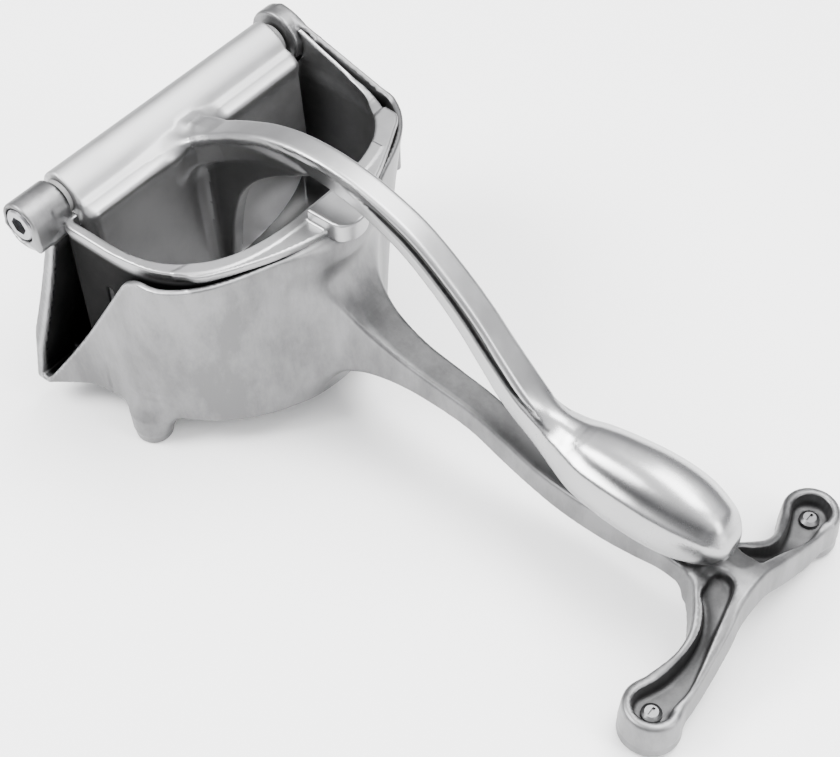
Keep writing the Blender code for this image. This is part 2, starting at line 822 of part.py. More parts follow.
def build_foot_screw(name, side, mat):
    profile = [
        (GROUND_Z + PAD_SKIN + GAP, FASTENER_SHANK),
        (POCKET_FLOOR + GAP - 0.01, FASTENER_SHANK),
        (POCKET_FLOOR + GAP, FASTENER_HEAD),
        (POCKET_FLOOR + 1.2, FASTENER_HEAD - 0.1),
        (POCKET_FLOOR + 1.8, FASTENER_HEAD - 1.1),
    ]
    screw = turned_z(name, profile, FOOT_X, FOOT_Y * side, 30)
    slot = [
        (FOOT_X - 0.4, FOOT_Y * side - 1.4),
        (FOOT_X + 0.4, FOOT_Y * side - 1.4),
        (FOOT_X + 0.4, FOOT_Y * side + 1.4),
        (FOOT_X - 0.4, FOOT_Y * side + 1.4),
    ]
    combine(screw, prism_z("driver_slot", slot, POCKET_FLOOR + 1.0, POCKET_FLOOR + 4.0), "DIFFERENCE")
    screw.data.materials.clear()
    screw.data.materials.append(mat)
    return screw


def shift_origin(obj, x, y, z):
    """Put the object's origin on a hinge-frame point without moving the mesh."""
    px = (x + FRAME_X) * MM
    py = (y + FRAME_Y) * MM
    pz = (z + FRAME_Z) * MM
    for vert in obj.data.vertices:
        vert.co.x -= px
        vert.co.y -= py
        vert.co.z -= pz
    obj.location = (px, py, pz)


def finish(obj, angle_deg):
    obj.data.shade_smooth()
    obj.data.set_sharp_from_angle(angle=math.radians(angle_deg))


def build():
    clear_scene()
    cast = make_material("cast aluminium, pot", (0.72, 0.72, 0.73), 1.0, 0.34)
    basket_mat = make_material("cast aluminium, basket", (0.70, 0.70, 0.71), 1.0, 0.30)
    lever_mat = make_material("polished aluminium, lever", (0.78, 0.78, 0.79), 1.0, 0.22)
    steel = make_material("screw steel", (0.34, 0.34, 0.35), 1.0, 0.30)
    steel_right = make_material("screw steel, right", (0.34, 0.34, 0.35), 1.0, 0.30)
    nylon_left = make_material("grey nylon, left", (0.22, 0.22, 0.22), 0.0, 0.50)
    nylon_right = make_material("grey nylon, right", (0.22, 0.22, 0.22), 0.0, 0.50)
    rubber_left = make_material("black rubber, left", (0.03, 0.03, 0.03), 0.0, 0.80)
    rubber_right = make_material("black rubber, right", (0.03, 0.03, 0.03), 0.0, 0.80)
    foot_left = make_material("foot screw steel, left", (0.55, 0.55, 0.56), 1.0, 0.35)
    foot_right = make_material("foot screw steel, right", (0.55, 0.55, 0.56), 1.0, 0.35)

    body = build_pot_body(cast)
    basket = build_basket(basket_mat)
    lever = build_lever(lever_mat)
    left_seat = EAR_LEFT_END + SINK_DEPTH - GAP
    screw_left = build_screw("hinge_screw_left", -1.0, left_seat, SCREW_HEAD_HEIGHT, SCREW_HEAD_RADIUS, steel)
    right_seat = EAR_RIGHT_END + GAP
    screw_right = build_screw("hinge_screw_right", 1.0, right_seat, 2.6, 4.8, steel_right)
    washer_left = build_washer("hinge_washer_left", -1.0, nylon_left)
    washer_right = build_washer("hinge_washer_right", 1.0, nylon_right)
    build_pad("tail_foot_pad_left", -1.0, rubber_left)
    build_pad("tail_foot_pad_right", 1.0, rubber_right)
    build_foot_screw("tail_foot_screw_left", -1.0, foot_left)
    build_foot_screw("tail_foot_screw_right", 1.0, foot_right)

    for obj in (lever, screw_left, screw_right, washer_left, washer_right):
        shift_origin(obj, HINGE_X, 0.0, HINGE_Z)
    for obj in bpy.data.objects:
        finish(obj, 32.0)


build()
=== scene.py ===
"""Looks of the citrus press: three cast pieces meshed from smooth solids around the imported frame.

The cast pieces are described as signed fields in millimetres in the hinge frame: X runs from
the hinge to the tail, Y towards the plain side of the pot, Z up, zero height at the pot rim.
"""

import math

import bpy
import numpy as np
from mathutils import Matrix, Vector


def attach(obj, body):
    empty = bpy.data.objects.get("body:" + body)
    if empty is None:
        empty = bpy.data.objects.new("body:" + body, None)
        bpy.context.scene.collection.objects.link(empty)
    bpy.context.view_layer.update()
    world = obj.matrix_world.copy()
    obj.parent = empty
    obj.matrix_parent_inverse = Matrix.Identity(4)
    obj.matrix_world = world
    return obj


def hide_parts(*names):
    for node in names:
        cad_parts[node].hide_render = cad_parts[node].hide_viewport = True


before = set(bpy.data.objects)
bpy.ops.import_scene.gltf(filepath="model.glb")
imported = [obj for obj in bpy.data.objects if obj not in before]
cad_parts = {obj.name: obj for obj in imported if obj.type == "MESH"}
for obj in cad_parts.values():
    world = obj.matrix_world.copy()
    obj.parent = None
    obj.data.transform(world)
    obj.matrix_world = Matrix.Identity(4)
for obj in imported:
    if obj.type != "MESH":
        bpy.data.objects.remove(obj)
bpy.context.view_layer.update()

MM = 0.001
SHIFT = np.array([-93.99, 3.0, 76.0])
HINGE_X = -7.5
HINGE_Z = 2.8
GROUND_Z = -76.0
FLOOR_Z = -67.0
RIM_Z = -2.2
FOOT_X = 196.7
FOOT_Y = 40.4

# Pot and its mouth
POT_HEIGHT = 67.0
POT_CENTRE_X = 8.0
POT_RADIUS = 52.3
POT_TAPER = 1.1
SHOULDER = 7.0
SPOUT_LIFT = 8.3
SPOUT_X = -12.5
FRONT_X = -3.5
FRONT_LEAN = 14.8
FRONT_SLOPE = POT_HEIGHT / math.hypot(POT_HEIGHT, FRONT_LEAN)
POT_WALL = 2.15
FLOOR_TOP = -63.0
MOUTH_LOW = (-11.2, -63.0)
MOUTH_HIGH = (22.6, -8.0)
MOUTH_Y = -46.0

# Hinge
BARREL_RADIUS = 7.35
BARREL_HALF = 43.5
EAR_LEFT = (-59.4, -45.9)
EAR_RIGHT = (45.9, 51.9)
PLAIN_WALL = (50.0, 51.9)
SCREW_BORE = 3.1

# Basket
BASKET_DEPTH = 57.0
BASKET_START_X = 14.0
BASKET_HALF = 49.7
BASKET_REACH = 38.2
BASKET_FRONT_X = -2.2
BASKET_WALL = 2.4
RIM_TOP = 0.6
TAB_TOP = 4.4
SLOT_PITCH = 8.0

# Legs, handle and tail
LEG_X = 20.0
LEG_Y = 47.6
TAIL_START_X = 168.0
HUB_TOP = -50.4
TAIL_FALL = 11.9
POCKET_HUB = -54.2
POCKET_FALL = 13.8

# Lever
PLATE_HALF = 42.4
PLATE_LEAN = 0.07
WEB_HALF = 2.3
GRIP_END_X = 193.0


# ---------------------------------------------------------------- field tools


def join(a, b, r):
    """Union with a fillet of radius r."""
    u = np.maximum(r - a, 0.0)
    v = np.maximum(r - b, 0.0)
    return np.maximum(r, np.minimum(a, b)) - np.sqrt(u * u + v * v)


def both(a, b, r):
    """Intersection with a rounded edge of radius r."""
    u = np.maximum(r + a, 0.0)
    v = np.maximum(r + b, 0.0)
    return np.minimum(-r, np.maximum(a, b)) + np.sqrt(u * u + v * v)


def cut(a, b, r):
    """a without b, with a rounded edge of radius r."""
    return both(a, -b, r)


def smoothstep(low, high, value):
    t = np.clip((value - low) / (high - low), 0.0, 1.0)
    return t * t * (3.0 - 2.0 * t)


def slab(value, low, high):
    """Distance to the range low..high of one coordinate."""
    return np.abs(value - (low + high) / 2.0) - (high - low) / 2.0


def polygon(px, py, points):
    """Signed distance to a closed outline."""
    best = np.full(px.shape, 1e9)
    inside = np.zeros(px.shape, bool)
    count = len(points)
    for i in range(count):
        ax, ay = points[i]
        bx, by = points[(i + 1) % count]
        ex = bx - ax
        ey = by - ay
        wx = px - ax
        wy = py - ay
        t = np.clip((wx * ex + wy * ey) / (ex * ex + ey * ey), 0.0, 1.0)
        dx = wx - ex * t
        dy = wy - ey * t
        best = np.minimum(best, dx * dx + dy * dy)
        if ey != 0.0:
            crosses = (ay > py) != (by > py)
            inside ^= crosses & (px < ex * (py - ay) / ey + ax)
    return np.where(inside, -1.0, 1.0) * np.sqrt(best)


def spline(keys, steps):
    """Catmull-Rom rows through rows of numbers."""
    keys = np.array(keys, float)
    padded = np.vstack([keys[:1], keys, keys[-1:]])
    rows = []
    for i in range(len(keys) - 1):
        a, b, c, d = padded[i:i + 4]
        for s in range(steps):
            t = s / steps
            rows.append(0.5 * (2 * b + (c - a) * t + (2 * a - 5 * b + 4 * c - d) * t * t
                               + (3 * b - a - 3 * c + d) * t ** 3))
    rows.append(keys[-1])
    return np.array(rows)


def closed_spline(points, steps):
    """Smooth closed outline through the given points."""
    points = np.array(points, float)
    count = len(points)
    out = []
    for i in range(count):
        a, b, c, d = (points[(i + k - 1) % count] for k in range(4))
        for s in range(steps):
            t = s / steps
            out.append(0.5 * (2 * b + (c - a) * t + (2 * a - 5 * b + 4 * c - d) * t * t
                              + (3 * b - a - 3 * c + d) * t ** 3))
    return out


def mesh_field(name, field, low, high, step, shade):
    """Mesh the zero surface of a field: dual vertices, moved onto the surface, true normals."""
    low = np.array(low, float)
    block = 6
    counts = np.ceil((np.array(high, float) - low) / (step * block)).astype(int)
    size = counts * block
    span = step * block
    axes = [low[k] + span * (np.arange(counts[k]) + 0.5) for k in range(3)]
    cx, cy, cz = np.meshgrid(*axes, indexing="ij")
    coarse = field(cx.ravel(), cy.ravel(), cz.ravel()).reshape(counts)
    values = np.repeat(np.repeat(np.repeat(coarse, block, 0), block, 1), block, 2)
    grid = np.full(size + 1, 9.0, np.float32)
    grid[:-1, :-1, :-1] = values
    active = np.argwhere(np.abs(coarse) < span * 1.7)
    offsets = np.stack(np.meshgrid(*[np.arange(block + 1)] * 3, indexing="ij"), -1).reshape(-1, 3)
    chunk = 900
    for start in range(0, len(active), chunk):
        index = (active[start:start + chunk, None, :] * block + offsets[None]).reshape(-1, 3)
        point = low + index * step
        fine = field(point[:, 0], point[:, 1], point[:, 2])
        grid[index[:, 0], index[:, 1], index[:, 2]] = fine
    solid = grid < 0.0
    corner_sum = np.zeros(size, np.int8)
    for dx in (0, 1):
        for dy in (0, 1):
            for dz in (0, 1):
                corner_sum += solid[dx:dx + size[0], dy:dy + size[1], dz:dz + size[2]]
    cells = np.argwhere((corner_sum > 0) & (corner_sum < 8))
    total = np.zeros((len(cells), 3))
    hits = np.zeros(len(cells))
    corners = [(i, j, k) for i in (0, 1) for j in (0, 1) for k in (0, 1)]
    for a in corners:
        for axis in range(3):
            if a[axis]:
                continue
            b = list(a)
            b[axis] = 1
            ia = cells + np.array(a)
            ib = cells + np.array(b)
            va = grid[ia[:, 0], ia[:, 1], ia[:, 2]]
            vb = grid[ib[:, 0], ib[:, 1], ib[:, 2]]
            mask = (va < 0.0) != (vb < 0.0)
            t = np.where(mask, va / np.where(va == vb, 1.0, va - vb), 0.0)
            place = np.array(a, float) + t[:, None] * (np.array(b, float) - np.array(a, float))
            total += place * mask[:, None]
            hits += mask
    points = low + (cells + total / hits[:, None]) * step
    points, normals = settle(field, points, step)
    number = np.full(size, -1, np.int64)
    number[cells[:, 0], cells[:, 1], cells[:, 2]] = np.arange(len(cells))
    quads = []
    for axis in range(3):
        b, c = (axis + 1) % 3, (axis + 2) % 3
        ahead = [slice(None)] * 3
        here = [slice(None)] * 3
        ahead[axis] = slice(1, None)
        here[axis] = slice(0, -1)
        first = solid[tuple(here)]
        second = solid[tuple(ahead)]
        edge = np.argwhere(first != second)
        keep = (edge[:, b] > 0) & (edge[:, c] > 0) & (edge[:, b] < size[b]) & (edge[:, c] < size[c])
        edge = edge[keep]
        turn = first[edge[:, 0], edge[:, 1], edge[:, 2]]
        ring = []
        for sb, sc in ((-1, -1), (0, -1), (0, 0), (-1, 0)):
            cell = edge.copy()
            cell[:, b] += sb
            cell[:, c] += sc
            ring.append(number[cell[:, 0], cell[:, 1], cell[:, 2]])
        quad = np.stack(ring, 1)
        quads.append(np.where(turn[:, None], quad, quad[:, ::-1]))
    quads = np.vstack(quads)
    obj = mesh_from(name, points, quads, normals)
    # tone holds painted shade and highlights for the base colour; dull scales the roughness
    tone, dull = shade(points, normals)
    for label, value in (("tone", tone), ("dull", dull)):
        layer = obj.data.attributes.new(label, "FLOAT", "POINT")
        layer.data.foreach_set("value", value.astype(np.float32))
    return obj


def gradient(field, points, reach):
    out = np.empty_like(points)
    for k in range(3):
        ahead = points.copy()
        behind = points.copy()
        ahead[:, k] += reach
        behind[:, k] -= reach
        out[:, k] = (field(*ahead.T) - field(*behind.T)) / (2.0 * reach)
    return out


def settle(field, points, step):
    """Move points onto the zero surface along the field's slope."""
    start = points.copy()
    for _ in range(3):
        slope = gradient(field, points, 0.02)
        length = np.maximum((slope ** 2).sum(1), 0.05)
        points = points - (field(*points.T) / length)[:, None] * slope
        points = start + np.clip(points - start, -0.6 * step, 0.6 * step)
    slope = gradient(field, points, 0.12)
    normals = slope / np.maximum(np.linalg.norm(slope, axis=1), 1e-6)[:, None]
    return points, normals


def mesh_from(name, points, quads, normals):
    mesh = bpy.data.meshes.new(name)
    mesh.vertices.add(len(points))
    mesh.vertices.foreach_set("co", ((points + SHIFT) * MM).astype(np.float32).ravel())
    mesh.loops.add(len(quads) * 4)
    mesh.loops.foreach_set("vertex_index", quads.astype(np.int32).ravel())
    mesh.polygons.add(len(quads))
    mesh.polygons.foreach_set("loop_start", np.arange(0, len(quads) * 4, 4, dtype=np.int32))
    mesh.update(calc_edges=True)
    mesh.validate()
    mesh.shade_smooth()
    mesh.normals_split_custom_set_from_vertices(normals.astype(np.float32))
    obj = bpy.data.objects.new(name, mesh)
    bpy.context.scene.collection.objects.link(obj)
    return obj


# ---------------------------------------------------------------- pot casting


def pot_side(x, y, z):
    """Distance outside the pot's wall in plan: round rear, squared shoulders, flared mouth."""
    depth = np.clip(-z / POT_HEIGHT, 0.0, 1.0)
    centre = POT_CENTRE_X - depth
    radius = POT_RADIUS - POT_TAPER * depth
    bump = SHOULDER * (1.0 - depth) ** 1.5
    dx = np.maximum(x - centre, 0.0)
    rho = np.hypot(dx, y)
    angle = np.arctan2(np.abs(y), np.maximum(dx, 1e-6))
    swell = radius + bump * smoothstep(math.radians(24.0), math.radians(60.0), angle)
    flat = radius / np.maximum(np.sin(angle), 0.01)
    soft = 1.6
    blend = np.clip(0.5 + 0.5 * (flat - swell) / soft, 0.0, 1.0)
    reach = flat + (swell - flat) * blend - soft * blend * (1.0 - blend)
    side = rho - reach
    t = np.clip((x - SPOUT_X) / (centre - SPOUT_X), 0.0, 1.0)
    lift = SPOUT_LIFT * (1.0 - t) ** 2.2
    slope = SPOUT_LIFT * 2.2 * (1.0 - t) ** 1.2 / (centre - SPOUT_X)
    left = (-y - radius - lift) / np.sqrt(1.0 + slope * slope)
    side = np.where((y < 0.0) & (x < centre), left, side)
    front = FRONT_X - FRONT_LEAN * depth
    face = (front - x) * FRONT_SLOPE
    corner = np.where(y > 0.0, 6.5, 1.4)
    return both(side, face, corner)


def mouth_region(x, z):
    """The open V of the mouth seen from the side, joined to the space above the rim."""
    depth = np.clip(-z / POT_HEIGHT, 0.0, 1.0)
    front_arm = (FRONT_X - FRONT_LEAN * depth + 2.6 - x) * FRONT_SLOPE
    # rear arm runs from the tip up to the shoulder
    ax, az = MOUTH_LOW
    bx, bz = MOUTH_HIGH
    length = math.hypot(bx - ax, bz - az)
    nx, nz = (bz - az) / length, -(bx - ax) / length
    rear_arm = (x - ax) * nx + (z - az) * nz
    wedge = both(front_arm, rear_arm, 1.6)
    above = RIM_Z + 0.2 - z
    return join(wedge, above, 6.0)


def hinge_circle(x, z, radius):
    """Distance outside a cylinder on the hinge axis."""
    return np.hypot(x - HINGE_X, z - HINGE_Z) - radius


HANDLE_KEYS = [
    (50.0, -12.0, -58.0, 18.0),
    (58.5, -16.5, -56.0, 13.0),
    (64.0, -24.0, -53.0, 9.2),
    (72.0, -32.0, -50.4, 6.9),
    (84.0, -37.4, -48.8, 5.7),
    (97.0, -40.0, -49.0, 5.3),
    (109.0, -42.2, -51.0, 5.1),
    (120.0, -46.0, -55.6, 5.1),
    (131.0, -50.2, -59.6, 5.2),
    (142.0, -52.0, -62.2, 5.3),
    (155.0, -52.3, -62.9, 5.4),
    (166.0, -52.2, -61.7, 5.6),
    (175.0, -51.9, -59.8, 6.0),
    (183.0, -51.6, -59.8, 6.8),
    (194.0, -51.0, -61.0, 7.6),
]
HANDLE = spline(HANDLE_KEYS, 8)


def handle_field(x, y, z):
    """Lower handle, whose height and width follow the keys along X."""
    top = np.interp(x, HANDLE[:, 0], HANDLE[:, 1])
    low = np.interp(x, HANDLE[:, 0], HANDLE[:, 2])
    half = np.interp(x, HANDLE[:, 0], HANDLE[:, 3])
    tilt = np.interp(x, [50.0, 64.0, 90.0, 140.0, 190.0], [0.55, 0.62, 0.94, 0.95, 1.0])
    middle = (top + low) / 2.0
    tall = (top - low) / 2.0
    across = np.abs(y) - half
    upright = (np.abs(z - middle) - tall) * tilt
    body = both(across, upright, 1.2)
    ends = slab(x, 46.0, 190.0)
    return both(body, ends, 1.0)


def foot_arc(radius, first, last, steps):
    """Points round the left foot from one angle to the other."""
    points = []
    for i in range(steps + 1):
        a = math.radians(first + (last - first) * i / steps)
        points.append((FOOT_X + radius * math.cos(a), -FOOT_Y + radius * math.sin(a)))
    return points


TAIL_HALF = [(184.4, -6.2), (186.6, -8.6), (190.0, -12.7), (193.3, -18.8), (193.5, -25.0), (191.4, -31.5)]
TAIL_HALF += foot_arc(7.9, 156.0, 382.0, 13)
TAIL_HALF += [(203.3, -24.0), (202.5, -13.0), (201.4, -6.0)]
TAIL = closed_spline(TAIL_HALF + [(x, -y) for x, y in reversed(TAIL_HALF)], 3)
POCKET = [(202.0, -31.4), (201.0, -23.8), (199.6, -16.6), (198.4, -9.9), (197.3, -5.2), (195.4, -2.2)]
POCKET += [(191.6, -1.4), (188.2, -2.4), (187.2, -5.2), (189.6, -8.8), (193.3, -12.7), (195.6, -17.4)]
POCKET += [(195.9, -22.5), (195.3, -26.6), (193.9, -32.7)] + foot_arc(5.5, 148.0, 392.0, 11)
POCKET = closed_spline(POCKET, 3)


def tail_field(x, y, z):
    """Fork with arms that slope from the hub down to the feet, each with a long pocket."""
    near = (x > TAIL_START_X) & (z < -40.0)
    out = np.full(x.shape, 60.0)
    if not near.any():
        return out
    x, y, z = x[near], y[near], z[near]
    reach = np.abs(y)
    top = HUB_TOP - TAIL_FALL * smoothstep(1.0, 38.0, reach)
    low = -62.0 - 9.5 * smoothstep(2.0, 34.0, reach)
    lean = 0.07 * np.maximum(top - z, 0.0)
    plan = polygon(x, y, TAIL) - lean
    solid = both(plan, np.abs(z - (top + low) / 2.0) * 0.93 - (top - low) / 2.0 * 0.93, 1.2)
    centre = np.hypot(x - FOOT_X, reach - FOOT_Y)
    foot = centre - 8.0 - lean
    solid = join(solid, both(foot, slab(z, -75.2, -62.6), 1.0), 1.0)
    floor = POCKET_HUB - POCKET_FALL * smoothstep(1.0, 32.0, reach)
    pocket = polygon(x, -reach, POCKET)
    pocket = np.where(y > 0.0, both(pocket, 8.2 - y, 0.8), pocket)
    pocket = both(pocket + 0.05 * np.maximum(top - z, 0.0), (floor - z) * 0.95, 1.4)
    solid = cut(solid, pocket, 0.9)
    pad = both(centre - 6.9, z + 71.7, 0.2)
    solid = np.maximum(solid, -pad)
    solid = np.maximum(solid, 1.9 - centre)
    out[near] = solid
    return out


LEFT_WEB = [(-13.2, 0.6), (-8.6, -3.4), (-4.6, -4.6), (-1.4, -5.4), (0.2, -3.0), (-2.0, 4.0)]
RIGHT_WEB = [(-15.0, 0.5), (-9.4, -12.0), (-4.0, -14.0), (6.0, -6.0), (6.0, 6.0)]


def pot_field(x, y, z):
    """Pot with its mouth, plain wall, ears, legs, handle and tail."""
    side = pot_side(x, y, z)
    outer = both(side, z - RIM_Z, 0.9)
    outer = both(outer, FLOOR_Z - z, 1.0 + 2.4 * smoothstep(-56.0, -50.0, y))
    # plain right wall rises towards the hinge
    ramp_top = (z - (9.2 - 0.31 * (x + 1.1))) * 0.96
    ramp = both(ramp_top, x - 37.4, 5.0)
    ramp = both(ramp, slab(y, *PLAIN_WALL), 0.5)
    ramp = both(both(ramp, -30.0 - z, 1.0), -9.0 - x, 0.5)
    # outer lump of the handle root
    handle = handle_field(x, y, z)
    lump = np.sqrt(((x - 55.5) / 7.5) ** 2 + (y / 15.0) ** 2 + ((z + 7.5) / 7.0) ** 2) - 1.0
    lump = both(lump * 6.5, z + 1.9, 2.0)
    solid = join(outer, handle, 7.0)
    solid = join(solid, lump, 5.0)
    # front legs
    leg_x = x - LEG_X
    leg_y = np.abs(y) - LEG_Y
    spread = np.interp(z, [-76.0, -72.0, -66.0, -58.0], [0.0, 0.2, 2.0, 7.0])
    bulk = np.interp(z, [-76.0, -73.0, -66.0, -58.0], [5.6, 6.1, 8.2, 9.0])
    leg = np.hypot(leg_x, leg_y + spread) - bulk
    leg = both(leg, slab(z, GROUND_Z, -56.0), 0.7)
    solid = join(solid, leg, 2.5)
    # ears
    left_round = both(hinge_circle(x, z, 7.0), slab(y, *EAR_LEFT), 0.9)
    left_web = polygon(x, z, LEFT_WEB)
    left_web = both(left_web, slab(y, -59.2, -45.9), 0.8)
    ears = join(left_round, left_web, 2.0)
    right_round = both(hinge_circle(x, z, 9.3), slab(y, *EAR_RIGHT), 0.9)
    right_web = polygon(x, z, RIGHT_WEB)
    right_round = np.where(y < 49.4, np.maximum(right_round, -1.0 - z), right_round)
    right_web = both(right_web, slab(y, 49.6, 51.9), 0.6)
    ears = np.minimum(ears, join(join(right_round, right_web, 2.0), ramp, 1.5))
    solid = join(solid, ears, 1.6)
    # hollow
    hollow = both(side + POT_WALL, FLOOR_TOP - z, 3.0)
    hollow = np.where(z > -8.0, np.minimum(hollow, side + POT_WALL), hollow)
    keep_ears = join(left_round, np.minimum(left_web, ears), 0.1) - 0.02
    hollow = np.maximum(hollow, -keep_ears)
    solid = cut(solid, hollow, 0.8)
    # mouth
    mouth = mouth_region(x, z)
    mouth = np.maximum(mouth, y - MOUTH_Y)
    mouth = both(mouth, -64.9 - z, 0.8)
    mouth = np.maximum(mouth, -keep_ears)
    mouth = np.maximum(mouth, z - 30.0)
    solid = cut(solid, mouth, 0.7)
    # room for the barrel and the bore of the screws
    room = np.maximum(hinge_circle(x, z, 8.6), slab(y, -45.3, 45.3))
    solid = cut(solid, room, 0.5)
    solid = np.maximum(solid, -hinge_circle(x, z, SCREW_BORE))
    sink = np.maximum(hinge_circle(x, z, 5.4), y + 54.5)
    solid = cut(solid, sink, 0.3)
    return join(solid, tail_field(x, y, z), 3.4)


# ---------------------------------------------------------------- basket casting


def basket_side(x, y, z):
    """Distance outside the basket wall in plan: straight sides and front, full round rear."""
    depth = np.clip(-z / BASKET_DEPTH, 0.0, 1.0)
    dx = np.maximum(x - BASKET_START_X, 0.0)
    rear = BASKET_REACH - 2.4 * depth
    half = BASKET_HALF
    power = 2.85 - 0.75 * depth
    grow = ((dx / rear) ** power + (np.abs(y) / half) ** power) ** (1.0 / power)
    scale = half - 0.5 * (half - rear) * smoothstep(14.0, 42.0, x)
    side = (grow - 1.0) * scale + 1.1 * depth
    return both(side, BASKET_FRONT_X - x, 4.0)


def slots(x, y, z):
    """Rows of drain slots in the front wall, the floor and the sides."""
    row = np.abs((y + SLOT_PITCH / 2.0) % SLOT_PITCH - SLOT_PITCH / 2.0) - 1.3
    front = both(row, slab(z, -49.0, -16.0), 0.8)
    front = np.maximum(front, np.maximum(x - 1.8, np.abs(y) - 34.0))
    floor = both(row, slab(x, 8.0, 36.0 - 0.25 * np.abs(y)), 0.8)
    floor = np.maximum(floor, np.maximum(z + 53.5, np.abs(y) - 26.0))
    column = np.abs((x - 9.0) % 10.0 - 5.0) - 1.2
    sides = both(column, slab(z, -46.0, -16.0), 0.8)
    sides = np.maximum(sides, np.maximum(slab(x, 11.0, 27.0), 43.0 + y))
    return np.minimum(np.minimum(front, floor), sides)


FLANGE = closed_spline([
    (36.8, -44.6), (39.5, -43.6), (43.6, -41.8), (47.4, -36.4), (51.0, -29.6), (55.0, -20.6),
    (58.2, -10.0), (59.4, 0.0), (58.2, 10.0), (55.0, 20.6), (51.0, 29.6), (47.0, 37.5),
    (43.6, 43.4), (40.0, 44.4), (37.6, 43.6), (38.0, 36.0), (36.0, 0.0), (38.0, -36.0),
], 4)


def basket_field(x, y, z):
    """Basket with its lip, flange, thumb tab and drain slots."""
    side = basket_side(x, y, z)
    raised = np.interp(x, [-2.3, 9.3, 21.0, 31.0], [9.8, 4.9, 0.3, -1.4])
    wall_top = np.full(x.shape, RIM_TOP)
    step = smoothstep(31.6, 32.6, x)
    wall_top = np.where(y > 30.0, raised * (1.0 - step) - 1.5 * step * smoothstep(37.5, 36.0, x), wall_top)
    outer = both(both(side, (z - wall_top) * 0.97, 0.5), -BASKET_DEPTH - z, 6.0)
    flange = both(polygon(x, y, FLANGE), slab(z, -1.9, RIM_TOP), 0.5)
    solid = join(outer, flange, 0.8)
    tab_end = np.hypot(np.maximum(x - 59.0, 0.0) * 1.05, y * 0.98) - 7.6
    tab = both(both(tab_end, np.abs(y) - 6.5, 1.2), 51.8 - x, 0.6)
    tab = both(tab, slab(z, -1.9, TAB_TOP), 0.6)
    solid = join(solid, tab, 0.8)
    rim = both(side - 0.5 * smoothstep(26.0, 16.0, x), slab(z, -2.4, RIM_TOP), 0.5)
    rim = np.maximum(rim, np.maximum(x - 26.0, y))
    solid = join(solid, rim, 0.4)
    wall = BASKET_WALL + 1.4 * smoothstep(-6.0, 0.0, z) * smoothstep(16.0, 40.0, x)
    wall -= 0.9 * smoothstep(-8.0, -2.0, z) * smoothstep(36.0, 44.0, y) * smoothstep(34.0, 28.0, x)
    hollow = both(side + wall, -54.6 - z, 8.0)
    hollow = np.where(z > -30.0, np.minimum(hollow, side + wall), hollow)
    solid = cut(solid, hollow, 0.5)
    room = np.maximum(np.maximum(x - 1.2, -11.0 - z), np.abs(y) - 44.6)
    solid = cut(solid, room, 0.5)
    beside_ear = np.maximum(hinge_circle(x, z, 9.7), 44.0 - y)
    solid = cut(solid, beside_ear, 0.3)
    return cut(solid, slots(x, y, z), 0.3)


# ---------------------------------------------------------------- lever casting


ARM_KEYS = [
    (-1.0, -2.6, 4.6, 4.8),
    (5.6, 0.7, 4.6, 4.8),
    (11.2, 3.5, 4.5, 4.8),
    (16.3, 6.2, 4.4, 4.7),
    (21.3, 8.8, 4.4, 4.6),
    (26.4, 11.3, 4.35, 4.5),
    (35.0, 14.7, 4.3, 4.5),
    (45.0, 16.8, 4.25, 4.5),
    (56.0, 17.1, 4.2, 4.5),
    (67.0, 15.5, 4.2, 4.5),
    (77.4, 12.2, 4.2, 4.6),
    (86.4, 7.8, 4.3, 4.7),
    (96.4, 0.3, 4.4, 4.8),
    (105.8, -8.4, 4.5, 5.0),
    (114.8, -18.6, 4.7, 5.2),
    (123.0, -27.4, 5.1, 5.6),
    (131.0, -33.6, 6.0, 6.4),
    (139.0, -36.8, 8.2, 8.2),
    (147.0, -38.2, 10.6, 10.6),
    (157.0, -38.4, 11.9, 12.0),
    (168.0, -38.3, 12.4, 12.5),
    (178.0, -38.6, 11.6, 11.6),
    (186.0, -39.2, 9.2, 9.2),
    (191.0, -39.7, 6.6, 6.4),
    (197.0, -40.0, 3.8, 3.8),
]
ARM = spline(ARM_KEYS, 16)


class Sweep:
    """Looks up where a point lies along and across the arm's bent centre line."""

    def __init__(self, rows, low, high, step):
        self.low = np.array(low, float)
        self.step = step
        nx = int((high[0] - low[0]) / step) + 1
        nz = int((high[1] - low[1]) / step) + 1
        gx = low[0] + np.arange(nx) * step
        gz = low[1] + np.arange(nz) * step
        px, pz = np.meshgrid(gx, gz, indexing="ij")
        best = np.full(px.shape, 1e9)
        place = np.zeros(px.shape)
        offset = np.zeros(px.shape)
        for i in range(len(rows) - 1):
            ax, az = rows[i][:2]
            bx, bz = rows[i + 1][:2]
            ex, ez = bx - ax, bz - az
            size = ex * ex + ez * ez
            t = ((px - ax) * ex + (pz - az) * ez) / size
            t = np.clip(t, 0.0, 1.0)
            dx = px - ax - ex * t
            dz = pz - az - ez * t
            dist = dx * dx + dz * dz
            sign = np.sign(ex * dz - ez * dx)
            closer = dist < best
            best = np.where(closer, dist, best)
            place = np.where(closer, i + t, place)
            offset = np.where(closer, sign * np.sqrt(dist), offset)
        self.place = place
        self.offset = offset

    def read(self, x, z):
        fx = np.clip((x - self.low[0]) / self.step, 0, self.place.shape[0] - 1.001)
        fz = np.clip((z - self.low[1]) / self.step, 0, self.place.shape[1] - 1.001)
        ix = fx.astype(int)
        iz = fz.astype(int)
        tx = fx - ix
        tz = fz - iz
        out = []
        for table in (self.place, self.offset):
            a = table[ix, iz] * (1 - tx) + table[ix + 1, iz] * tx
            b = table[ix, iz + 1] * (1 - tx) + table[ix + 1, iz + 1] * tx
            out.append(a * (1 - tz) + b * tz)
        return out


SWEEP = Sweep(ARM, (-30.0, -70.0), (215.0, 45.0), 0.5)


